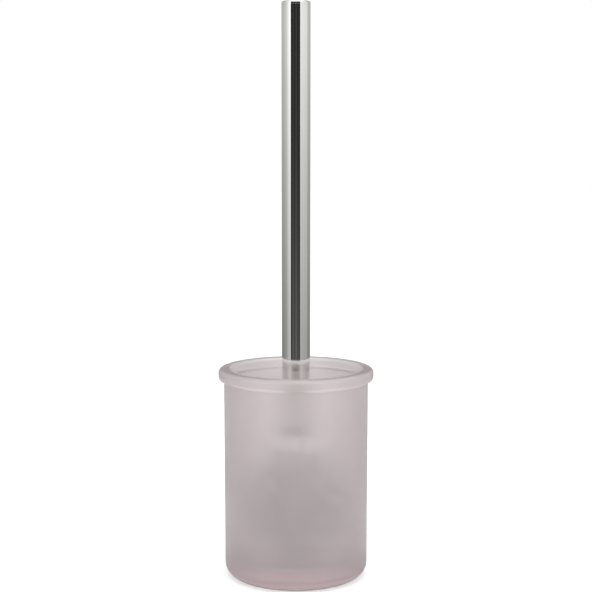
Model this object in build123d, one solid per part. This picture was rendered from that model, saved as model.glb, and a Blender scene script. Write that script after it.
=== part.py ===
from build123d import *
from collections import namedtuple
from math import cos, radians, sin, sqrt
import os

# Free-standing toilet brush set, in millimetres: a frosted glass tumbler and the brush that stands in it.
# The origin is the centre of the tumbler's base, +Z is up and the brush stands on the same axis.

# Tumbler
cup_height = 142.0
lip_radius = 52.2
lip_height = 8.0
lip_rounding = 2.7
lip_underside_rounding = 2.6
lip_root_rounding = 1.0
mouth_rounding = 2.2
body_top_radius = 48.5
body_base_radius = 48.2
base_rounding = 9.0
inner_radius = 44.0
inner_base_rounding = 9.0
floor_thickness = 11.0

# Handle
overall_height = 385.0
tube_radius = 9.5
tube_wall = 1.0
tube_bottom = 102.0
cap_thickness = 2.0
cap_rounding = 1.2
cap_spigot_length = 12.0
plug_collar = 2.0
plug_length = 24.0
stud_radius = 5.0
stud_chamfer = 0.8
stud_engagement = 12.0
stud_in_plug = 14.0
washer_thickness = 2.0
washer_bore_radius = 5.3

# Brush head
core_radius = 14.0
core_neck_radius = 9.5
core_neck_height = 5.0
core_shoulder_rounding = 4.0
core_end_height = 32.0
socket_clearance = 0.05
socket_extra_depth = 1.0
head_radius = 37.0
head_bottom = 11.4
head_top = 94.0

# Tufts: each row is its height on the core's axis, the slope of its tufts and how many it has
straight_rows = [
    (76.5, 30.0, 12),
    (70.5, 18.0, 12),
    (64.0, 7.0, 12),
    (56.0, 0.0, 12),
    (47.5, -7.0, 12),
    (40.5, -18.0, 12),
]
end_row_slope = -46.0
end_row_count = 8
tuft_root_radius = 1.9
tuft_tip_radius = 3.9
tuft_hole_depth = 5.0
tuft_hole_clearance = 0.05
anchor_length = 3.4
anchor_width = 1.2
anchor_height = 0.5

# Heights that follow from the driving dimensions
collar_bottom = tube_bottom - plug_collar
core_top = collar_bottom - washer_thickness
head_centre = (head_top + head_bottom) / 2
head_half_height = (head_top - head_bottom) / 2
tube_top = overall_height - cap_thickness
tube_bore_radius = tube_radius - tube_wall
tuft_hole_radius = tuft_root_radius + tuft_hole_clearance


def turned(corners):
    """Solid turned about Z. Each corner of its half outline is (radius, height, rounding)."""
    face = make_face(Polyline(*[(radius, height) for radius, height, _ in corners], close=True))
    for radius, height, rounding in corners:
        if rounding > 0:
            face = fillet(face.vertices().sort_by_distance((radius, height))[0], rounding)
    return revolve(Plane.XZ * face, Axis.Z)


def cylinder_between(radius, low, high):
    """Upright cylinder on the Z axis from one height to another."""
    return Pos(0, 0, low) * extrude(Circle(radius), high - low)


def glass_tumbler():
    """Open cup: thick floor, slightly tapering wall and a rounded lip that stands out from it."""
    lip_bottom = cup_height - lip_height
    return turned([
        (0, 0, 0),
        (body_base_radius, 0, base_rounding),
        (body_top_radius, lip_bottom, lip_root_rounding),
        (lip_radius, lip_bottom, lip_underside_rounding),
        (lip_radius, cup_height, lip_rounding),
        (inner_radius, cup_height, mouth_rounding),
        (inner_radius, floor_thickness, inner_base_rounding),
        (0, floor_thickness, 0),
    ])


def handle_tube():
    """Straight round tube, open at both ends until its cap and plug go in."""
    outside = cylinder_between(tube_radius, tube_bottom, tube_top)
    return outside - cylinder_between(tube_bore_radius, tube_bottom, tube_top)


def handle_top_cap():
    """Turned cap with a rounded edge, flush with the tube, and a spigot that is pressed into it."""
    return turned([
        (0, overall_height, 0),
        (tube_radius, overall_height, cap_rounding),
        (tube_radius, tube_top, 0),
        (tube_bore_radius, tube_top, 0),
        (tube_bore_radius, tube_top - cap_spigot_length, 0),
        (0, tube_top - cap_spigot_length, 0),
    ])


def tube_end_plug():
    """Moulded plug in the tube's lower end, with a collar under the tube and a blind hole for the stud."""
    body = turned([
        (0, collar_bottom, 0),
        (tube_radius, collar_bottom, 0),
        (tube_radius, tube_bottom, 0),
        (tube_bore_radius, tube_bottom, 0),
        (tube_bore_radius, tube_bottom + plug_length, 0),
        (0, tube_bottom + plug_length, 0),
    ])
    return body - cylinder_between(stud_radius, collar_bottom, collar_bottom + stud_in_plug)


def threaded_stud():
    """Stud held in the plug, whose lower end screws into the brush core."""
    bottom = core_top - stud_engagement
    top = collar_bottom + stud_in_plug
    return turned([
        (0, bottom, 0),
        (stud_radius - stud_chamfer, bottom, 0),
        (stud_radius, bottom + stud_chamfer, 0),
        (stud_radius, top, 0),
        (0, top, 0),
    ])


def sealing_washer():
    """Flat rubber washer around the stud, between the plug's collar and the core."""
    disc = cylinder_between(tube_radius, core_top, collar_bottom)
    return disc - cylinder_between(washer_bore_radius, core_top, collar_bottom)


# A row of tufts: its height on the axis, the slope of its tufts, the distance along a tuft from the axis
# to the core's surface, how many tufts it has and the turn of the first one
Row = namedtuple("Row", "name height slope surface count start")


def tuft_rows():
    """Every row. Every second one starts half a step round, so its tufts stand between their neighbours."""
    rows = []
    for number, (height, slope, count) in enumerate(straight_rows, 1):
        surface = core_radius / cos(radians(slope))
        start = 0 if number % 2 else 180 / count
        rows.append(Row(f"bristle_row_{number}", height, slope, surface, count, start))
    rows.append(Row("bristle_end_row", core_end_height, end_row_slope, core_radius, end_row_count, 0))
    rows.append(Row("bristle_end_tuft", core_end_height, -90.0, core_radius, 1, 0))
    return rows


def tip_distance(height, slope):
    """How far the head's rounded outline, an ellipse turned about Z, lies along a tuft from the axis."""
    across = cos(radians(slope)) / head_radius
    upwards = sin(radians(slope)) / head_half_height
    start = (height - head_centre) / head_half_height
    a = across**2 + upwards**2
    b = 2 * start * upwards
    c = start**2 - 1
    return (-b + sqrt(b**2 - 4 * a * c)) / (2 * a)


def around(solid, row):
    """Copies of a solid that lies along +Z, sloped as the row's tufts are and spread round the axis."""
    step = 360 / row.count
    sloped = Rot(0, 90 - row.slope, 0) * solid
    return [Pos(0, 0, row.height) * Rot(0, 0, row.start + step * turn) * sloped for turn in range(row.count)]


def tuft(row):
    """One tuft: a round foot that fills its hole and stands out of it, then a cone out to the head's outline."""
    foot_end = row.surface + tuft_root_radius
    foot = cylinder_between(tuft_root_radius, row.surface - tuft_hole_depth + anchor_height, foot_end)
    spread_length = tip_distance(row.height, row.slope) - foot_end
    spread = Pos(0, 0, foot_end + spread_length / 2) * Cone(tuft_root_radius, tuft_tip_radius, spread_length)
    return foot + spread


def anchor(row):
    """Flat wire staple that lies across the bottom of a tuft's hole."""
    bottom = row.surface - tuft_hole_depth
    return Pos(0, 0, bottom + anchor_height / 2) * Box(anchor_length, anchor_width, anchor_height)


def brush_core():
    """Moulded core: neck, straight body and round end, with a socket for the stud and a hole per tuft."""
    core = Pos(0, 0, core_end_height) * Sphere(core_radius)
    core += turned([
        (0, core_end_height, 0),
        (core_radius, core_end_height, 0),
        (core_radius, core_top - core_neck_height, core_shoulder_rounding),
        (core_neck_radius, core_top - core_neck_height, 0),
        (core_neck_radius, core_top, 0),
        (0, core_top, 0),
    ])
    socket_bottom = core_top - stud_engagement - socket_extra_depth
    core -= cylinder_between(stud_radius + socket_clearance, socket_bottom, core_top)
    for row in tuft_rows():
        hole = cylinder_between(tuft_hole_radius, row.surface - tuft_hole_depth, row.surface + core_radius)
        core -= around(hole, row)
    return core


def write(solid, name):
    """Write one sub-part to its own STEP file."""
    export_step(solid, f"parts/{name}.step")


os.makedirs("parts", exist_ok=True)
for make in (glass_tumbler, handle_tube, handle_top_cap, tube_end_plug, threaded_stud, sealing_washer,
             brush_core):
    write(make(), make.__name__)
for tuft_row in tuft_rows():
    write(Compound(around(tuft(tuft_row), tuft_row)), tuft_row.name)
write(Compound([copy for row in tuft_rows() for copy in around(anchor(row), row)]), "tuft_anchors")
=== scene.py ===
import math

import bpy
import numpy as np
from bpy.props import FloatProperty, FloatVectorProperty, IntProperty, PointerProperty
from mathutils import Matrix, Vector


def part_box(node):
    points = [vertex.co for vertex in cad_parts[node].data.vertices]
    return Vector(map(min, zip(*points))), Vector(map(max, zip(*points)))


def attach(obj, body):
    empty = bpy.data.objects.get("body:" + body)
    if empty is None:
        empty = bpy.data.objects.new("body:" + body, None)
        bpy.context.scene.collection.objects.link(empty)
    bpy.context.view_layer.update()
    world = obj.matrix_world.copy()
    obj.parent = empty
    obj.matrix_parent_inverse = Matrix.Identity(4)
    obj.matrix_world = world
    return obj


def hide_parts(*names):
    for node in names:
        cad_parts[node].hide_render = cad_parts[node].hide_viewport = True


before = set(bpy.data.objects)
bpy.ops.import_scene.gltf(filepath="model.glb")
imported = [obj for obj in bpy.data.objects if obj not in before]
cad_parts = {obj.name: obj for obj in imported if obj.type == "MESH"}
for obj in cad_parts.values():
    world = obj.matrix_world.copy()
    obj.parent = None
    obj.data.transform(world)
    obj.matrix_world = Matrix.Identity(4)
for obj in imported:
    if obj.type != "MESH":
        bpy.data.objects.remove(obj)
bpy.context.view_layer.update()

bl_info = {
    "name": "Toilet Brush Set",
    "version": (1, 0, 0),
    "blender": (4, 5, 0),
    "location": "View3D > Sidebar > Brush Set",
    "description": "Builds a frosted glass tumbler and the chrome-handled brush that stands in it",
    "category": "Add Mesh",
}

MM = 0.001
FULL_TURN = 2 * math.pi

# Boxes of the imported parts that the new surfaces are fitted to, in metres
TUMBLER_LOW, TUMBLER_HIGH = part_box("glass_tumbler")
TUBE_LOW, TUBE_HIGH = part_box("handle_tube")
CAP_LOW, CAP_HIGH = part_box("handle_top_cap")
PLUG_LOW, PLUG_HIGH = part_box("tube_end_plug")
STUD_LOW, STUD_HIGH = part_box("threaded_stud")
WASHER_LOW, WASHER_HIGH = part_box("sealing_washer")
BRISTLE_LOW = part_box("bristle_end_tuft")[0]


# ---------------------------------------------------------------- settings

class TumblerSettings(bpy.types.PropertyGroup):
    """Sizes and colours of the glass tumbler."""
    body_top_radius: FloatProperty(
        name="Body Top Radius", description="Outer radius of the wall just under the lip",
        default=48.5 * MM, unit="LENGTH")
    body_base_radius: FloatProperty(
        name="Body Base Radius", description="Outer radius of the wall where it meets the base corner",
        default=48.2 * MM, unit="LENGTH")
    inner_radius: FloatProperty(
        name="Inner Radius", description="Radius of the straight inner wall",
        default=44.0 * MM, unit="LENGTH")
    floor_thickness: FloatProperty(
        name="Floor Thickness", description="Thickness of the glass floor",
        default=11.0 * MM, unit="LENGTH")
    base_rounding: FloatProperty(
        name="Base Rounding", description="Radius of the outer corner at the base",
        default=9.0 * MM, unit="LENGTH")
    inner_base_rounding: FloatProperty(
        name="Inner Base Rounding", description="Radius of the inner corner round the floor",
        default=9.0 * MM, unit="LENGTH")
    lip_height: FloatProperty(
        name="Lip Height", description="Height of the lip that stands out from the wall",
        default=8.0 * MM, unit="LENGTH")
    lip_rounding: FloatProperty(
        name="Lip Rounding", description="Radius of the lip's outer top edge",
        default=2.7 * MM, unit="LENGTH")
    frost_roughness: FloatProperty(
        name="Frost Roughness", description="How strongly the etched surface blurs what is behind it",
        default=0.36, min=0.0, max=1.0, subtype="FACTOR")
    frost_clearness: FloatProperty(
        name="Frost Clearness", description="Share of the light that the etched glass lets through",
        default=0.79, min=0.0, max=1.0, subtype="FACTOR")
    # Frost colour at the lip: the lit end of a painted shade gradient down the tumbler
    lip_frost_lit_colour: FloatVectorProperty(
        name="Lip Frost Colour", description="Colour of the light that the frost scatters at the lip",
        default=(0.84, 0.793, 0.798), subtype="COLOR", size=3, min=0.0, max=1.0)
    # Frost colour at the base: darker than at the lip as painted shade, and pinker as a tint of the glass
    base_frost_shaded_colour: FloatVectorProperty(
        name="Base Frost Colour", description="Colour of the light that the frost scatters at the base",
        default=(0.745, 0.68, 0.69), subtype="COLOR", size=3, min=0.0, max=1.0)
    glass_tint: FloatVectorProperty(
        name="Glass Tint", description="Colour that the thickness of the glass takes on",
        default=(0.90, 0.62, 0.66), subtype="COLOR", size=3, min=0.0, max=1.0)
    tint_density: FloatProperty(
        name="Tint Density", description="How fast the glass takes its tint, per metre of glass",
        default=11.0, min=0.0)


class HandleSettings(bpy.types.PropertyGroup):
    """Sizes and colours of the chrome handle and its fittings."""
    tube_wall: FloatProperty(
        name="Tube Wall", description="Wall thickness of the handle tube",
        default=1.0 * MM, unit="LENGTH")
    cap_rounding: FloatProperty(
        name="Cap Rounding", description="Radius of the cap's top edge",
        default=1.2 * MM, unit="LENGTH")
    collar_height: FloatProperty(
        name="Plug Collar", description="Height of the plug's collar under the tube",
        default=2.0 * MM, unit="LENGTH")
    thread_pitch: FloatProperty(
        name="Thread Pitch", description="Rise of the stud's thread in one turn",
        default=1.5 * MM, unit="LENGTH")
    thread_depth: FloatProperty(
        name="Thread Depth", description="Height of the stud's thread from root to crest",
        default=0.8 * MM, unit="LENGTH")
    washer_bore_radius: FloatProperty(
        name="Washer Bore Radius", description="Radius of the hole in the sealing washer",
        default=5.3 * MM, unit="LENGTH")
    chrome_colour: FloatVectorProperty(
        name="Chrome Colour", description="Reflected colour of the polished metal",
        default=(0.83, 0.83, 0.805), subtype="COLOR", size=3, min=0.0, max=1.0)


class HeadSettings(bpy.types.PropertyGroup):
    """Sizes and colours of the bristle head."""
    filaments_per_tuft: IntProperty(
        name="Filaments per Tuft", description="Number of nylon filaments in each tuft",
        default=60, min=1, max=80)
    filament_radius: FloatProperty(
        name="Filament Radius", description="Radius of one nylon filament",
        default=0.25 * MM, unit="LENGTH")
    tuft_root_radius: FloatProperty(
        name="Tuft Root Radius", description="Radius of the bundle where it leaves its hole",
        default=1.85 * MM, unit="LENGTH")
    tuft_tip_radius: FloatProperty(
        name="Tuft Tip Radius", description="Radius of the bundle at its tips",
        default=4.5 * MM, unit="LENGTH")
    head_radius: FloatProperty(
        name="Head Radius", description="Largest radius of the bristle head",
        default=37.0 * MM, unit="LENGTH")
    head_top: FloatProperty(
        name="Head Top", description="Height of the top of the bristles' rounded outline",
        default=94.0 * MM, unit="LENGTH")
    core_radius: FloatProperty(
        name="Core Radius", description="Radius of the moulded core and of its round end",
        default=14.0 * MM, unit="LENGTH")
    core_end_height: FloatProperty(
        name="Core End Height", description="Height of the centre of the core's round end",
        default=32.0 * MM, unit="LENGTH")
    bristle_colour: FloatVectorProperty(
        name="Bristle Colour", description="Colour of the nylon filaments",
        default=(0.98, 0.985, 0.98), subtype="COLOR", size=3, min=0.0, max=1.0)
    core_colour: FloatVectorProperty(
        name="Core Colour", description="Colour of the moulded core",
        default=(0.87, 0.87, 0.86), subtype="COLOR", size=3, min=0.0, max=1.0)


class StageSettings(bpy.types.PropertyGroup):
    """Camera, floor and light."""
    camera_distance: FloatProperty(
        name="Camera Distance", description="Distance of the camera in front of the handle's axis",
        default=0.955, unit="LENGTH")
    camera_height: FloatProperty(
        name="Camera Height", description="Height of the camera above the floor",
        default=0.302, unit="LENGTH")
    camera_pitch: FloatProperty(
        name="Camera Pitch", description="How far the camera looks down",
        default=math.radians(6.65), subtype="ANGLE")
    camera_lens: FloatProperty(
        name="Focal Length", description="Focal length of the camera, on a 36 mm sensor",
        default=87.2, unit="CAMERA")
    floor_colour: FloatVectorProperty(
        name="Floor Colour", description="Colour of the floor",
        default=(0.62, 0.62, 0.62), subtype="COLOR", size=3, min=0.0, max=1.0)
    floor_glow: FloatProperty(
        name="Floor Glow", description="Light that the floor gives off, as a lit table does",
        default=0.2, min=0.0)
    surround_strength: FloatProperty(
        name="Surround Strength", description="Brightness of the white surroundings",
        default=1.0, min=0.0)


# ---------------------------------------------------------------- surfaces

# The furthest that a support point may lie along a side of an outline, as a share of the side
LONGEST_REACH = 0.99


def rounded_outline(corners, arc_steps=10, support=0.25 * MM):
    """Outline through corners of (radius, height, rounding), as an array of (radius, height).

    A rounded corner becomes the arc that touches both of its sides: its centre lies on the corner's
    bisector, rounding / sin(half angle) from the corner. A point just outside each end of an arc keeps
    the shading of the straight run beside it flat.
    """
    points = np.array([corner[:2] for corner in corners], float)
    outline = [points[0]]
    for before, here, after, corner in zip(points[:-2], points[1:-1], points[2:], corners[1:-1]):
        to_before = (before - here) / np.linalg.norm(before - here)
        to_after = (after - here) / np.linalg.norm(after - here)
        rounding = corner[2]
        if rounding == 0:
            outline.append(here)
            continue
        half = math.acos(np.clip(to_before @ to_after, -1, 1)) / 2
        centre = here + (to_before + to_after) / (2 * math.cos(half)) * rounding / math.sin(half)
        reach = rounding / math.tan(half)
        start = here + to_before * reach - centre
        end = here + to_after * reach - centre
        sweep = math.pi - 2 * half
        share = np.linspace(0, 1, arc_steps + 1)[:, None]
        arc = centre + (np.sin((1 - share) * sweep) * start + np.sin(share * sweep) * end) / math.sin(sweep)
        outline.append(here + to_before * min(reach + support, np.linalg.norm(before - here) * LONGEST_REACH))
        outline.extend(arc)
        outline.append(here + to_after * min(reach + support, np.linalg.norm(after - here) * LONGEST_REACH))
    outline.append(points[-1])
    return np.array(outline)


def grid_faces(rows, columns, wrap_rows):
    """Quads between neighbouring points of a grid whose columns go all the way round."""
    row = np.arange(rows if wrap_rows else rows - 1)[:, None]
    column = np.arange(columns)[None, :]
    next_row = (row + 1) % rows
    next_column = (column + 1) % columns
    quads = (row * columns + column, row * columns + next_column,
             next_row * columns + next_column, next_row * columns + column)
    return np.stack(np.broadcast_arrays(*quads), -1).reshape(-1, 4)


def add_mesh(name, points, faces, material):
    """Object at the origin whose mesh has the given points and faces, shaded smooth."""
    mesh = bpy.data.meshes.new(name)
    mesh.from_pydata(points.tolist(), [], [list(face) for face in faces])
    mesh.validate()
    mesh.shade_smooth()
    mesh.materials.append(material)
    piece = bpy.data.objects.new(name, mesh)
    bpy.context.scene.collection.objects.link(piece)
    return piece


def close_poles(points, faces, segments, low, high):
    """Adds a point on the axis at each end of a turned grid, at heights low and high, and the fans of
    triangles that join it to the first and last rings."""
    here = np.arange(segments)
    there = (here + 1) % segments
    last = len(points) - segments
    low_pole, high_pole = len(points), len(points) + 1
    faces += np.stack([there, here, np.full(segments, low_pole)], -1).tolist()
    faces += np.stack([last + here, last + there, np.full(segments, high_pole)], -1).tolist()
    return np.vstack([points, [(0, 0, low), (0, 0, high)]]), faces


def turned(name, outline, material, segments=192, ring=False):
    """Surface turned about Z: an outline (r, z)(t) gives the point (r(t) cos s, r(t) sin s, z(t)) at (t, s).

    The outline runs from the lower axis outwards and up, so that the faces point outwards. Its two ends
    lie on the axis, where a fan of triangles closes the surface, or it is a ring that closes on itself.
    """
    turn = np.arange(segments) * FULL_TURN / segments
    body = outline if ring else outline[1:-1]
    radius, height = body[:, 0][:, None], body[:, 1][:, None]
    points = np.stack(np.broadcast_arrays(radius * np.cos(turn), radius * np.sin(turn), height), -1)
    points = points.reshape(-1, 3)
    faces = grid_faces(len(body), segments, ring).tolist()
    if not ring:
        points, faces = close_poles(points, faces, segments, outline[0, 1], outline[-1, 1])
    return add_mesh(name, points, faces, material)


def finish_piece(piece, body, node):
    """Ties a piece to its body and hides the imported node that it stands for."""
    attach(piece, body)
    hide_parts(node)


# ---------------------------------------------------------------- materials

def new_material(name):
    """Material with a Principled BSDF, returned with its node tree and that shader."""
    material = bpy.data.materials.new(name)
    material.use_nodes = True
    tree = material.node_tree
    shader = next(node for node in tree.nodes if node.type == "BSDF_PRINCIPLED")
    return material, tree, shader


def set_inputs(node, **values):
    """Sets a node's own sockets by name, with underscores for spaces."""
    for socket, value in values.items():
        node.inputs[socket.replace("_", " ")].default_value = value


def object_pattern(tree, scale, stretch=(1, 1, 1), **values):
    """Noise texture that reads the piece's own coordinates, stretched along the axes."""
    place = tree.nodes.new("ShaderNodeTexCoord")
    mapping = tree.nodes.new("ShaderNodeMapping")
    mapping.inputs["Scale"].default_value = stretch
    texture = tree.nodes.new("ShaderNodeTexNoise")
    texture.inputs["Scale"].default_value = scale
    set_inputs(texture, **values)
    tree.links.new(place.outputs["Object"], mapping.inputs["Vector"])
    tree.links.new(mapping.outputs["Vector"], texture.inputs["Vector"])
    return texture


def vary(tree, source, socket, low, high, span=(0.25, 0.75)):
    """Drives a socket from a pattern's value, from low to high across a span of the value."""
    remap = tree.nodes.new("ShaderNodeMapRange")
    remap.inputs["From Min"].default_value = span[0]
    remap.inputs["From Max"].default_value = span[1]
    remap.inputs["To Min"].default_value = low
    remap.inputs["To Max"].default_value = high
    tree.links.new(source.outputs[0], remap.inputs["Value"])
    tree.links.new(remap.outputs["Result"], socket)


def vary_colour(tree, source, socket, low, high, span=(0.3, 0.7)):
    """Drives a colour socket from a pattern's value, between two colours across a span of the value."""
    ramp = tree.nodes.new("ShaderNodeValToRGB")
    for element, position, colour in zip(ramp.color_ramp.elements, span, (low, high)):
        element.position = position
        element.color = (*colour, 1)
    tree.links.new(source.outputs[0], ramp.inputs["Fac"])
    tree.links.new(ramp.outputs["Color"], socket)


def add_bump(tree, shader, source, strength, distance):
    """Adds relief from a pattern to a shader."""
    bump = tree.nodes.new("ShaderNodeBump")
    bump.inputs["Strength"].default_value = strength
    bump.inputs["Distance"].default_value = distance
    tree.links.new(source.outputs[0], bump.inputs["Height"])
    tree.links.new(bump.outputs["Normal"], shader.inputs["Normal"])


def shade(colour, factor):
    """A colour made darker or lighter."""
    return tuple(min(1.0, channel * factor) for channel in colour)


def height_share(tree, pattern, height, unevenness):
    """Share of the way up a piece, made slightly uneven: z / height + unevenness * (pattern - 0.5)."""
    place = tree.nodes.new("ShaderNodeTexCoord")
    split = tree.nodes.new("ShaderNodeSeparateXYZ")
    uneven = tree.nodes.new("ShaderNodeMath")
    uneven.operation = "MULTIPLY_ADD"
    uneven.inputs[1].default_value = unevenness
    uneven.inputs[2].default_value = -unevenness / 2
    share = tree.nodes.new("ShaderNodeMath")
    share.operation = "MULTIPLY_ADD"
    share.inputs[1].default_value = 1 / height
    tree.links.new(place.outputs["Object"], split.inputs["Vector"])
    tree.links.new(pattern.outputs[0], uneven.inputs[0])
    tree.links.new(split.outputs["Z"], share.inputs[0])
    tree.links.new(uneven.outputs["Value"], share.inputs[2])
    return share


# How far the roughness of the etched glass, and of moulded plastic, strays from its middle value
FROST_SPREAD = 0.03
PLASTIC_SPREAD = 0.06
# How uneven the height is at which the frost's colour and painted shade change, as a share of the tumbler's
# height
FROST_UNEVENNESS = 0.10


def frosted_glass(settings):
    """Satin-etched glass: rough transmission with a fine grain, over a faint pink tint in the thickness.
    The frost is whiter at the lip and darker and pinker towards the base: the darkening is painted shade, and
    the pink is partly the glass's own tint."""
    material, tree, shader = new_material("frosted_glass")
    set_inputs(shader, IOR=1.5, Transmission_Weight=settings.frost_clearness)
    cloud = object_pattern(tree, 38.0, Detail=3.0, Roughness=0.6)
    level = height_share(tree, cloud, TUMBLER_HIGH.z, FROST_UNEVENNESS)
    # Painted shade: the frost colour darkens from the lip down to the base, and turns slightly pinker
    vary_colour(tree, level, shader.inputs["Base Color"],
                settings.base_frost_shaded_colour, settings.lip_frost_lit_colour, span=(0, 1))
    etch = object_pattern(tree, 2600.0, Detail=2.0, Roughness=0.7)
    vary(tree, etch, shader.inputs["Roughness"],
         settings.frost_roughness - FROST_SPREAD, settings.frost_roughness + FROST_SPREAD)
    add_bump(tree, shader, etch, 0.10, 0.05 * MM)
    absorption = tree.nodes.new("ShaderNodeVolumeAbsorption")
    absorption.inputs["Color"].default_value = (*settings.glass_tint, 1)
    absorption.inputs["Density"].default_value = settings.tint_density
    output = next(node for node in tree.nodes if node.type == "OUTPUT_MATERIAL")
    tree.links.new(absorption.outputs["Volume"], output.inputs["Volume"])
    return material


def polished_chrome(settings):
    """Mirror-polished tube: faint lengthwise draw lines and small differences in polish."""
    material, tree, shader = new_material("polished_chrome")
    set_inputs(shader, Metallic=1.0)
    patch = object_pattern(tree, 45.0, stretch=(1, 1, 0.35), Detail=4.0, Roughness=0.6)
    vary_colour(tree, patch, shader.inputs["Base Color"],
                shade(settings.chrome_colour, 0.97), shade(settings.chrome_colour, 1.02))
    lines = object_pattern(tree, 1500.0, stretch=(1, 1, 0.012), Detail=3.0, Roughness=0.6)
    vary(tree, lines, shader.inputs["Roughness"], 0.035, 0.075)
    add_bump(tree, shader, lines, 0.02, 0.01 * MM)
    return material


def turned_steel():
    """Machined stainless steel with fine turning marks."""
    material, tree, shader = new_material("turned_steel")
    set_inputs(shader, Metallic=1.0)
    marks = object_pattern(tree, 900.0, stretch=(0.05, 0.05, 1), Detail=3.0)
    vary_colour(tree, marks, shader.inputs["Base Color"], (0.50, 0.50, 0.49), (0.62, 0.62, 0.61))
    vary(tree, marks, shader.inputs["Roughness"], 0.22, 0.36)
    add_bump(tree, shader, marks, 0.12, 0.02 * MM)
    return material


def moulded_plastic(name, colour, roughness, translucency=0.0):
    """Moulded plastic: faint spark-eroded grain and slightly uneven gloss."""
    material, tree, shader = new_material(name)
    set_inputs(shader, IOR=1.49, Subsurface_Weight=translucency, Subsurface_Scale=2.0 * MM)
    flow = object_pattern(tree, 70.0, Detail=3.0)
    vary_colour(tree, flow, shader.inputs["Base Color"], shade(colour, 0.95), shade(colour, 1.02))
    grain = object_pattern(tree, 1800.0, Detail=2.0)
    vary(tree, grain, shader.inputs["Roughness"], roughness - PLASTIC_SPREAD, roughness + PLASTIC_SPREAD)
    add_bump(tree, shader, grain, 0.15, 0.03 * MM)
    return material


def nylon_filament(settings):
    """Translucent white nylon: each filament a slightly different white, with a soft gloss."""
    material, tree, shader = new_material("bristle_nylon")
    set_inputs(shader, IOR=1.53, Subsurface_Weight=1.0, Subsurface_Scale=2.0 * MM,
               Subsurface_Radius=(1.0, 1.0, 1.0))
    tone = object_pattern(tree, 420.0, Detail=1.0)
    vary_colour(tree, tone, shader.inputs["Base Color"],
                shade(settings.bristle_colour, 0.92), shade(settings.bristle_colour, 1.05))
    vary(tree, tone, shader.inputs["Roughness"], 0.32, 0.46)
    return material


def soft_rubber():
    """Matt black rubber with a dusty bloom."""
    material, tree, shader = new_material("washer_rubber")
    set_inputs(shader, IOR=1.5)
    bloom = object_pattern(tree, 260.0, Detail=4.0, Roughness=0.65)
    vary_colour(tree, bloom, shader.inputs["Base Color"], (0.018, 0.018, 0.019), (0.045, 0.045, 0.046))
    vary(tree, bloom, shader.inputs["Roughness"], 0.62, 0.85)
    add_bump(tree, shader, bloom, 0.2, 0.03 * MM)
    return material


def give_material(node, material):
    """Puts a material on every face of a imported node's object."""
    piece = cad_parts[node]
    piece.data.materials.clear()
    piece.data.materials.append(material)


# ---------------------------------------------------------------- pieces

LIP_ROOT_ROUNDING = 1.0 * MM
LIP_UNDERSIDE_ROUNDING = 2.6 * MM
MOUTH_ROUNDING = 2.2 * MM


class BRUSHSET_OT_tumbler(bpy.types.Operator):
    """Build the frosted glass tumbler: thick floor, straight wall and rounded lip"""
    bl_idname = "brushset.tumbler"
    bl_label = "Build Tumbler"

    def execute(self, context):
        size = context.scene.brushset_tumbler
        top = TUMBLER_HIGH.z
        lip_radius = TUMBLER_HIGH.x
        lip_bottom = top - size.lip_height
        outline = rounded_outline([
            (0, 0, 0),
            (size.body_base_radius, 0, size.base_rounding),
            (size.body_top_radius, lip_bottom, LIP_ROOT_ROUNDING),
            (lip_radius, lip_bottom, LIP_UNDERSIDE_ROUNDING),
            (lip_radius, top, size.lip_rounding),
            (size.inner_radius, top, MOUTH_ROUNDING),
            (size.inner_radius, size.floor_thickness, size.inner_base_rounding),
            (0, size.floor_thickness, 0),
        ], arc_steps=12)
        piece = turned("tumbler_glass", outline, frosted_glass(size), segments=256)
        finish_piece(piece, "holder", "glass_tumbler")
        return {"FINISHED"}


TUBE_EDGE = 0.06 * MM
TUBE_FOOT_ROUNDING = 0.3 * MM
SPIGOT_ROUNDING = 0.5 * MM


class BRUSHSET_OT_handle(bpy.types.Operator):
    """Build the polished tube and its rounded top cap"""
    bl_idname = "brushset.handle"
    bl_label = "Build Handle"

    def execute(self, context):
        size = context.scene.brushset_handle
        chrome = polished_chrome(size)
        radius = TUBE_HIGH.x
        bore = radius - size.tube_wall
        start = (radius - size.tube_wall / 2, TUBE_LOW.z, 0)
        tube_outline = rounded_outline([
            start,
            (radius, TUBE_LOW.z, TUBE_FOOT_ROUNDING),
            (radius, TUBE_HIGH.z, TUBE_EDGE),
            (bore, TUBE_HIGH.z, TUBE_EDGE),
            (bore, TUBE_LOW.z, TUBE_EDGE),
            start,
        ], arc_steps=6)[:-1]
        tube = turned("chrome_tube", tube_outline, chrome, ring=True)
        finish_piece(tube, "handle", "handle_tube")
        cap_outline = rounded_outline([
            (0, CAP_LOW.z, 0),
            (bore, CAP_LOW.z, SPIGOT_ROUNDING),
            (bore, TUBE_HIGH.z, 0),
            (radius, TUBE_HIGH.z, TUBE_EDGE),
            (radius, CAP_HIGH.z, size.cap_rounding),
            (0, CAP_HIGH.z, 0),
        ], arc_steps=14)
        cap = turned("chrome_top_cap", cap_outline, chrome)
        finish_piece(cap, "handle", "handle_top_cap")
        return {"FINISHED"}


PLUG_COLOUR = (0.035, 0.035, 0.038)
PLUG_ROUGHNESS = 0.42
PLUG_HOLE_ROUNDING = 0.2 * MM
PLUG_TOP_ROUNDING = 0.8 * MM
COLLAR_FOOT_ROUNDING = 0.4 * MM
COLLAR_TOP_ROUNDING = 0.15 * MM
WASHER_ROUNDING = 0.7 * MM
WASHER_BORE_ROUNDING = 0.3 * MM
STUD_SEGMENTS = 72
STUD_CHAMFER = 0.8 * MM
ROWS_PER_PITCH = 12
# Share of the pitch that is flat at the crest, and again at the root
THREAD_FLAT = 0.12


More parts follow.
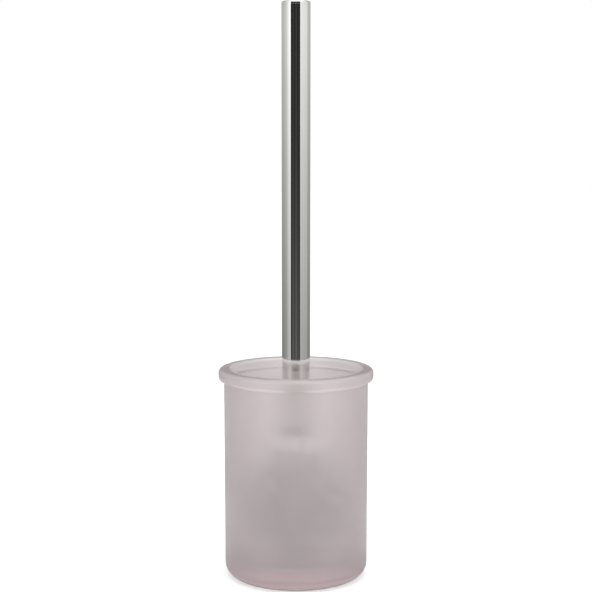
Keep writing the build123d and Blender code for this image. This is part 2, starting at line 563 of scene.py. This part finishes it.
class BRUSHSET_OT_fittings(bpy.types.Operator):
    """Build the plug, the threaded stud and the washer that join the handle to the head"""
    bl_idname = "brushset.fittings"
    bl_label = "Build Fittings"

    def execute(self, context):
        size = context.scene.brushset_handle
        radius = PLUG_HIGH.x
        bore = TUBE_HIGH.x - size.tube_wall
        stud_radius = STUD_HIGH.x
        collar_top = PLUG_LOW.z + size.collar_height
        plug_outline = rounded_outline([
            (0, STUD_HIGH.z, 0),
            (stud_radius, STUD_HIGH.z, 0),
            (stud_radius, PLUG_LOW.z, PLUG_HOLE_ROUNDING),
            (radius, PLUG_LOW.z, COLLAR_FOOT_ROUNDING),
            (radius, collar_top, COLLAR_TOP_ROUNDING),
            (bore, collar_top, 0),
            (bore, PLUG_HIGH.z, PLUG_TOP_ROUNDING),
            (0, PLUG_HIGH.z, 0),
        ], arc_steps=6)
        nylon = moulded_plastic("plug_nylon", PLUG_COLOUR, PLUG_ROUGHNESS)
        plug = turned("moulded_plug", plug_outline, nylon)
        finish_piece(plug, "handle", "tube_end_plug")
        stud = self.stud(size)
        finish_piece(stud, "handle", "threaded_stud")
        start = ((size.washer_bore_radius + WASHER_HIGH.x) / 2, WASHER_LOW.z, 0)
        washer_outline = rounded_outline([
            start,
            (WASHER_HIGH.x, WASHER_LOW.z, WASHER_ROUNDING),
            (WASHER_HIGH.x, WASHER_HIGH.z, WASHER_ROUNDING),
            (size.washer_bore_radius, WASHER_HIGH.z, WASHER_BORE_ROUNDING),
            (size.washer_bore_radius, WASHER_LOW.z, WASHER_BORE_ROUNDING),
            start,
        ], arc_steps=6)[:-1]
        washer = turned("rubber_washer", washer_outline, soft_rubber(), segments=128, ring=True)
        finish_piece(washer, "seal", "sealing_washer")
        return {"FINISHED"}

    def stud(self, size):
        """Threaded rod. The radius at height z and angle s is the crest radius less the thread depth times
        a flat-topped wave of z / pitch - s / turn, so the groove rises one pitch in each turn. A cone of
        the chamfer's height cuts off its lower end."""
        crest = STUD_HIGH.x
        height = np.arange(STUD_LOW.z, STUD_HIGH.z, size.thread_pitch / ROWS_PER_PITCH)
        height = np.append(height, STUD_HIGH.z)[:, None]
        turn = (np.arange(STUD_SEGMENTS) * FULL_TURN / STUD_SEGMENTS)[None, :]
        phase = (height - STUD_LOW.z) / size.thread_pitch - turn / FULL_TURN
        wave = np.abs(2 * (phase % 1) - 1)
        groove = np.clip((wave - THREAD_FLAT) / (1 - 2 * THREAD_FLAT), 0, 1)
        chamfer = np.clip(1 - (height - STUD_LOW.z) / STUD_CHAMFER, 0, 1) * STUD_CHAMFER
        radius = np.minimum(crest - size.thread_depth * groove, crest - chamfer)
        points = np.stack(np.broadcast_arrays(radius * np.cos(turn), radius * np.sin(turn), height), -1)
        faces = grid_faces(len(height), STUD_SEGMENTS, False).tolist()
        points, faces = close_poles(points.reshape(-1, 3), faces, STUD_SEGMENTS, STUD_LOW.z, STUD_HIGH.z)
        return add_mesh("screw_stud", points, faces, turned_steel())


CORE_ROUGHNESS = 0.40
CORE_TRANSLUCENCY = 0.15


class BRUSHSET_OT_core(bpy.types.Operator):
    """Finish the moulded core and the staples that hold its tufts"""
    bl_idname = "brushset.core"
    bl_label = "Finish Brush Core"

    def execute(self, context):
        size = context.scene.brushset_head
        plastic = moulded_plastic("core_plastic", size.core_colour, CORE_ROUGHNESS, CORE_TRANSLUCENCY)
        give_material("brush_core", plastic)
        give_material("tuft_anchors", turned_steel())
        return {"FINISHED"}


# Each bristle row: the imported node, its height on the core's axis, the slope of its tufts and their number
BRISTLE_ROWS = [
    ("bristle_row_1", 76.5 * MM, 30.0, 12),
    ("bristle_row_2", 70.5 * MM, 18.0, 12),
    ("bristle_row_3", 64.0 * MM, 7.0, 12),
    ("bristle_row_4", 56.0 * MM, 0.0, 12),
    ("bristle_row_5", 47.5 * MM, -7.0, 12),
    ("bristle_row_6", 40.5 * MM, -18.0, 12),
    ("bristle_end_row", 32.0 * MM, -46.0, 8),
    ("bristle_end_tuft", 32.0 * MM, -90.0, 1),
]
TUFT_HOLE_DEPTH = 4.5 * MM
FILAMENT_SIDES = 4
# Where a filament's rings lie along it, from its root to its tip
FILAMENT_RINGS = np.array([0.0, 0.22, 0.42, 0.62, 0.82, 1.0])
# Size of a filament's last ring, as a share of the others
TIP_TAPER = 0.72
# How far above the core's surface the filaments start to spread
SPREAD_START = 0.4 * MM
# Share of the spread that is even along the tuft. The rest comes towards the tips
EVEN_SPREAD = 0.55
# The narrowest that a filament's tip place is, as a share of its full spread
LEAST_SPREAD = 0.86
# How much shorter a filament can be by chance, and how much shorter the outermost ones are
TRIM = 1.4 * MM
EDGE_TRIM = 0.9 * MM
BOW = 0.45 * MM
FIRST_SEED = 100


class BRUSHSET_OT_bristles(bpy.types.Operator):
    """Build every ring of nylon tufts, filament by filament"""
    bl_idname = "brushset.bristles"
    bl_label = "Build Bristles"

    def execute(self, context):
        size = context.scene.brushset_head
        nylon = nylon_filament(size)
        for number, (node, height, slope, count) in enumerate(BRISTLE_ROWS):
            draw = np.random.default_rng(FIRST_SEED + number)
            piece = self.row(size, draw, node, height, math.radians(slope), count, number % 2, nylon)
            finish_piece(piece, "brush_head", node)
        return {"FINISHED"}

    def row(self, size, draw, node, height, slope, count, staggered, nylon):
        """One ring of tufts. Along a tuft, a filament's distance from the tuft's centre line grows from its
        root place, packed on a sunflower spiral, to its tip place by a smooth ease, plus a small bow."""
        straight = abs(height - size.core_end_height) > 0.1 * MM
        surface = size.core_radius / math.cos(slope) if straight else size.core_radius
        reach = self.outline_distance(size, height, slope)
        each = size.filaments_per_tuft
        index = np.arange(each) + 0.5
        spiral_angle = index * math.pi * (3 - math.sqrt(5))
        total = count * each
        swirl = np.repeat(draw.uniform(0, FULL_TURN, count), each) + np.tile(spiral_angle, count)
        ratio = np.tile(np.sqrt(index / each), count)
        root = ratio * (size.tuft_root_radius - size.filament_radius)
        tip = ratio * (size.tuft_tip_radius - size.filament_radius) * draw.uniform(LEAST_SPREAD, 1.0, total)
        length = reach - draw.uniform(0, TRIM, total) - ratio**2 * EDGE_TRIM
        bow = draw.normal(0, BOW, (total, 2))
        start = surface - TUFT_HOLE_DEPTH
        loose_from = surface + SPREAD_START
        along = start + (length[:, None] - start) * FILAMENT_RINGS[None, :]
        free = np.clip((along - loose_from) / (length[:, None] - loose_from), 0, 1)
        ease = free * (EVEN_SPREAD + (1 - EVEN_SPREAD) * free)
        offset = root[:, None] + (tip - root)[:, None] * ease
        across = offset * np.cos(swirl)[:, None] + bow[:, :1] * np.sin(free * math.pi)
        upward = offset * np.sin(swirl)[:, None] + bow[:, 1:] * np.sin(free * math.pi)
        turn = np.repeat((np.arange(count) + 0.5 * staggered) * FULL_TURN / count, each)
        points = self.filament_points(size, along, across, upward, turn, height, slope)
        return add_mesh(node.replace("bristle", "nylon"), points, self.filament_faces(total), nylon)

    def filament_points(self, size, along, across, upward, turn, height, slope):
        """Rings of points round the filaments' paths. The point t along a tuft, a across it and b up from it
        lies t cos e - b sin e out from the axis, at height h + t sin e + b cos e, for a tuft of slope e. It
        is then turned round the axis with its tuft."""
        side = np.arange(FILAMENT_SIDES) * FULL_TURN / FILAMENT_SIDES
        thick = size.filament_radius * np.where(FILAMENT_RINGS == 1.0, TIP_TAPER, 1.0)[None, :, None]
        a = across[:, :, None] + thick * np.cos(side)
        b = upward[:, :, None] + thick * np.sin(side)
        t = np.broadcast_to(along[:, :, None], a.shape)
        turn = turn[:, None, None]
        outward = t * math.cos(slope) - b * math.sin(slope)
        rise = height + t * math.sin(slope) + b * math.cos(slope)
        x = outward * np.cos(turn) - a * np.sin(turn)
        y = outward * np.sin(turn) + a * np.cos(turn)
        return np.stack([x, y, rise], -1).reshape(-1, 3)

    def filament_faces(self, total):
        """Faces of a number of filaments: the sides of each, and a cap at its root and its tip."""
        rings = len(FILAMENT_RINGS)
        sides = grid_faces(rings, FILAMENT_SIDES, False)
        root_cap = np.arange(FILAMENT_SIDES)[::-1][None, :]
        tip_cap = (np.arange(FILAMENT_SIDES) + (rings - 1) * FILAMENT_SIDES)[None, :]
        one = np.vstack([sides, root_cap, tip_cap])
        first_points = (np.arange(total) * rings * FILAMENT_SIDES)[:, None, None]
        return (one[None] + first_points).reshape(-1, 4)

    def outline_distance(self, size, height, slope):
        """Distance from the axis, along a tuft, to the ellipse that the tips fill: the positive root of the
        quadratic that puts the point (t cos e, height + t sin e) on that ellipse."""
        middle = (size.head_top + BRISTLE_LOW.z) / 2
        half_height = (size.head_top - BRISTLE_LOW.z) / 2
        across = math.cos(slope) / size.head_radius
        upwards = math.sin(slope) / half_height
        start = (height - middle) / half_height
        a = across**2 + upwards**2
        b = 2 * start * upwards
        c = start**2 - 1
        return (-b + math.sqrt(b * b - 4 * a * c)) / (2 * a)


# ---------------------------------------------------------------- stage

# Brightness of the reflection screen by bearing in degrees, where 0 is the front and 90 the right
SCREEN_BANDS = [
    (-90, 0.68), (-78, 0.74), (-68, 1.0), (-50, 1.2), (30, 1.12), (45, 0.92), (70, 0.92), (76, 0.82),
    (86, 0.92), (98, 0.84), (108, 0.60), (135, 0.50), (180, 0.9), (225, 0.50), (245, 0.58), (270, 0.68),
]
# Where the dark stripes are, by bearing: 0 is lit and 1 is dark
SCREEN_STRIPES = [(-43, 0), (-41, 1), (33, 1), (35, 0), (158, 0), (160, 1), (200, 1), (202, 0)]
SCREEN_RADIUS = 0.8
SCREEN_HEIGHT = 1.1
SCREEN_FOOT = 0.002
SCREEN_COLUMNS = 65
# The bearing on each side where the front part of the screen ends and its rear part starts
SCREEN_JOIN = 125
# The screen's flat part on the floor: radius of its hole, height and number of sides
SCREEN_OPENING = 0.25
FLOOR_SCREEN_HEIGHT = 0.5 * MM
FLOOR_SCREEN_SIDES = 96
FLOOR_HALF_WIDTH = 6.0
# Glow of the floor that the camera sees, gap down to the one that light bounces off, and how dark that is
SEEN_FLOOR_GLOW = 0.42
BOUNCE_FLOOR_GAP = 1 * MM
BOUNCE_FLOOR_SHADE = 0.8
FLOOR_ROUGHNESS = 0.8
# Brightness of the lit part and of the dark stripes, by height in metres
SCREEN_DIMMING = [(0.001, 1.15), (0.002, 0.47), (0.03, 0.47), (0.16, 0.62), (0.28, 0.78), (0.42, 1.0)]
SCREEN_STRIPE_LIGHT = [(0.03, 0.085), (0.16, 0.055), (0.28, 0.035), (0.42, 0.030)]
# Brightness of the streaks within the dark stripes, by bearing
SCREEN_STREAKS = [
    (-43, 0.30), (-34, 0.35), (-25, 1.35), (-18, 1.45), (-10, 0.55), (-3, 1.50), (4, 1.60), (11, 0.85),
    (20, 1.10), (28, 0.45), (36, 0.40), (60, 1.0),
]
# Soft lights: name, place, width, height, energy, and whether polished metal shows it
SOFTBOXES = [
    ("overhead_softbox", (0.1, -0.3, 1.6), 1.6, 1.2, 10.0, True),
    ("left_softbox", (-1.05, -1.25, 0.4), 0.8, 0.7, 9.3, False),
    ("right_softbox", (1.05, -1.25, 0.4), 0.8, 0.7, 9.3, False),
]
LIT_POINT = Vector((0, 0, 0.1))
SENSOR_WIDTH = 36.0


def hide_from(piece, *rays):
    """Makes a stage object invisible to some kinds of ray."""
    for ray in rays:
        setattr(piece, "visible_" + ray, False)


class BRUSHSET_OT_stage(bpy.types.Operator):
    """Set up the floor, the soft light and the camera"""
    bl_idname = "brushset.stage"
    bl_label = "Set the Stage"

    def execute(self, context):
        size = context.scene.brushset_stage
        self.floor(size)
        self.screens()
        self.surround(context.scene, size)
        self.lights(context.scene)
        self.camera(context.scene, size)
        context.scene.view_settings.view_transform = "Standard"
        return {"FINISHED"}

    def floor(self, size):
        """Large flat floor, in a plain pale finish. The camera sees its white top, and the light bounces
        off a greyer one just under it."""
        half = FLOOR_HALF_WIDTH
        points = np.array([(-half, -half, 0), (half, -half, 0), (half, half, 0), (-half, half, 0)])
        sheet = np.array([[0, 1, 2, 3]])
        seen_finish = self.floor_finish("pale_floor", size.floor_colour, SEEN_FLOOR_GLOW)
        seen = add_mesh("floor", points, sheet, seen_finish)
        hide_from(seen, "diffuse", "glossy", "transmission", "shadow")
        bounce_colour = shade(size.floor_colour, BOUNCE_FLOOR_SHADE)
        bounce_finish = self.floor_finish("bounce_floor", bounce_colour, size.floor_glow)
        bounce = add_mesh("bounce_floor", points - (0, 0, BOUNCE_FLOOR_GAP), sheet, bounce_finish)
        hide_from(bounce, "camera")

    def floor_finish(self, name, colour, glow):
        """Matt floor that also gives off a little light."""
        material, tree, shader = new_material(name)
        set_inputs(shader, Roughness=FLOOR_ROUGHNESS, Emission_Color=(1, 1, 1, 1), Emission_Strength=glow)
        shader.inputs["Base Color"].default_value = (*colour, 1)
        return material

    def screens(self):
        """Round screen that the camera doesn't see, and that lights nothing matt. Its front part shows in
        polished metal and through the glass. Its rear part and its floor show only in polished metal, so
        what lies behind the glass stays white."""
        material = self.screen_material()
        front = self.screen("front_screen", -SCREEN_JOIN, SCREEN_JOIN, material)
        rear = self.screen("rear_screen", SCREEN_JOIN, 360 - SCREEN_JOIN, material)
        turn = np.arange(FLOOR_SCREEN_SIDES) * FULL_TURN / FLOOR_SCREEN_SIDES
        reach = np.array([SCREEN_OPENING, SCREEN_RADIUS])[:, None]
        points = np.stack(np.broadcast_arrays(
            reach * np.cos(turn), reach * np.sin(turn), FLOOR_SCREEN_HEIGHT), -1).reshape(-1, 3)
        under = add_mesh("floor_screen", points, grid_faces(2, FLOOR_SCREEN_SIDES, False), material)
        hide_from(front, "camera", "diffuse", "shadow")
        for screen in (rear, under):
            hide_from(screen, "camera", "diffuse", "transmission", "shadow")

    def screen(self, name, first, last, material):
        """Upright band at a fixed distance, from one bearing to another."""
        bearing = np.radians(np.linspace(first, last, SCREEN_COLUMNS))
        level = np.array([SCREEN_FOOT, SCREEN_HEIGHT])[:, None]
        points = np.stack(np.broadcast_arrays(
            SCREEN_RADIUS * np.sin(bearing), -SCREEN_RADIUS * np.cos(bearing), level), -1).reshape(-1, 3)
        start = np.arange(len(bearing) - 1)
        faces = np.stack([start, start + 1, start + 1 + len(bearing), start + len(bearing)], -1)
        band = add_mesh(name, points, faces, material)
        return band

    def screen_material(self):
        """Glow that follows the bearing round the set and the height above the floor."""
        material = bpy.data.materials.new("reflection_screen")
        material.use_nodes = True
        tree = material.node_tree
        tree.nodes.clear()
        place = tree.nodes.new("ShaderNodeTexCoord")
        around = tree.nodes.new("ShaderNodeTexGradient")
        around.gradient_type = "RADIAL"
        tree.links.new(place.outputs["Object"], around.inputs["Vector"])
        split = tree.nodes.new("ShaderNodeSeparateXYZ")
        tree.links.new(place.outputs["Object"], split.inputs["Vector"])
        bands = self.bearing_ramp(tree, around, SCREEN_BANDS)
        stripes = self.bearing_ramp(tree, around, SCREEN_STRIPES)
        streaks = self.bearing_ramp(tree, around, SCREEN_STREAKS)
        dimming = self.ramp(tree, split.outputs["Z"], SCREEN_DIMMING)
        stripe_light = self.ramp(tree, split.outputs["Z"], SCREEN_STRIPE_LIGHT)
        mix = tree.nodes.new("ShaderNodeMix")
        tree.links.new(stripes, mix.inputs["Factor"])
        tree.links.new(self.product(tree, bands, dimming), mix.inputs["A"])
        tree.links.new(self.product(tree, streaks, stripe_light), mix.inputs["B"])
        glow = tree.nodes.new("ShaderNodeEmission")
        tree.links.new(mix.outputs["Result"], glow.inputs["Color"])
        output = tree.nodes.new("ShaderNodeOutputMaterial")
        tree.links.new(glow.outputs["Emission"], output.inputs["Surface"])
        return material

    def product(self, tree, first, second):
        """Two values multiplied."""
        node = tree.nodes.new("ShaderNodeMath")
        node.operation = "MULTIPLY"
        tree.links.new(first, node.inputs[0])
        tree.links.new(second, node.inputs[1])
        return node.outputs["Value"]

    def bearing_ramp(self, tree, around, stops):
        """Grey ramp through (bearing, value) stops. The radial gradient's value is bearing / 360 + 0.25."""
        places = [(bearing / 360 + 0.25, value) for bearing, value in stops]
        return self.ramp(tree, around.outputs["Fac"], places)

    def ramp(self, tree, source, stops):
        """Grey ramp through (position, value) stops."""
        node = tree.nodes.new("ShaderNodeValToRGB")
        elements = node.color_ramp.elements
        while len(elements) < len(stops):
            elements.new(0.5)
        for element, (position, value) in zip(elements, sorted(stops)):
            element.position = position
            element.color = (value, value, value, 1)
        tree.links.new(source, node.inputs["Fac"])
        return node.outputs["Color"]

    def surround(self, scene, size):
        """Even white surroundings, like a light tent."""
        world = bpy.data.worlds.new("light_tent")
        world.use_nodes = True
        background = next(node for node in world.node_tree.nodes if node.type == "BACKGROUND")
        background.inputs["Color"].default_value = (1, 1, 1, 1)
        background.inputs["Strength"].default_value = size.surround_strength
        scene.world = world

    def lights(self, scene):
        """Broad soft lights: one overhead, and a low one each side that doesn't show in the chrome."""
        for name, place, width, height, energy, in_chrome in SOFTBOXES:
            data = bpy.data.lights.new(name, "AREA")
            data.shape = "RECTANGLE"
            data.size = width
            data.size_y = height
            data.energy = energy
            light = bpy.data.objects.new(name, data)
            light.location = place
            light.rotation_euler = (LIT_POINT - light.location).to_track_quat("-Z", "Y").to_euler()
            light.visible_glossy = in_chrome
            scene.collection.objects.link(light)

    def camera(self, scene, size):
        """Level-roll camera in front of the set, looking slightly down."""
        data = bpy.data.cameras.new("camera")
        data.sensor_width = SENSOR_WIDTH
        data.lens = size.camera_lens
        camera = bpy.data.objects.new("camera", data)
        camera.location = (0, -size.camera_distance, size.camera_height)
        camera.rotation_euler = (math.pi / 2 - size.camera_pitch, 0, 0)
        scene.collection.objects.link(camera)
        scene.camera = camera


# ---------------------------------------------------------------- add-on

OPERATORS = [
    BRUSHSET_OT_stage,
    BRUSHSET_OT_tumbler,
    BRUSHSET_OT_handle,
    BRUSHSET_OT_fittings,
    BRUSHSET_OT_core,
    BRUSHSET_OT_bristles,
]
SETTINGS = {
    "brushset_tumbler": TumblerSettings,
    "brushset_handle": HandleSettings,
    "brushset_head": HeadSettings,
    "brushset_stage": StageSettings,
}


class BRUSHSET_PT_panel(bpy.types.Panel):
    """List the brush set's settings and the operators that build it"""
    bl_idname = "BRUSHSET_PT_panel"
    bl_label = "Brush Set"
    bl_space_type = "VIEW_3D"
    bl_region_type = "UI"
    bl_category = "Brush Set"

    def draw(self, context):
        for name, group in SETTINGS.items():
            column = self.layout.column(align=True)
            for setting in group.__annotations__:
                column.prop(getattr(context.scene, name), setting)
        for operator in OPERATORS:
            self.layout.operator(operator.bl_idname)


def register():
    """Registers the settings, the operators and the panel."""
    for name, group in SETTINGS.items():
        bpy.utils.register_class(group)
        setattr(bpy.types.Scene, name, PointerProperty(type=group))
    for operator in OPERATORS:
        bpy.utils.register_class(operator)
    bpy.utils.register_class(BRUSHSET_PT_panel)


def unregister():
    """Removes the panel, the operators and the settings."""
    bpy.utils.unregister_class(BRUSHSET_PT_panel)
    for operator in reversed(OPERATORS):
        bpy.utils.unregister_class(operator)
    for name, group in SETTINGS.items():
        delattr(bpy.types.Scene, name)
        bpy.utils.unregister_class(group)


def main():
    """Builds everything in order."""
    register()
    for operator in OPERATORS:
        family, name = operator.bl_idname.split(".")
        getattr(getattr(bpy.ops, family), name)()


if __name__ == "__main__":
    main()
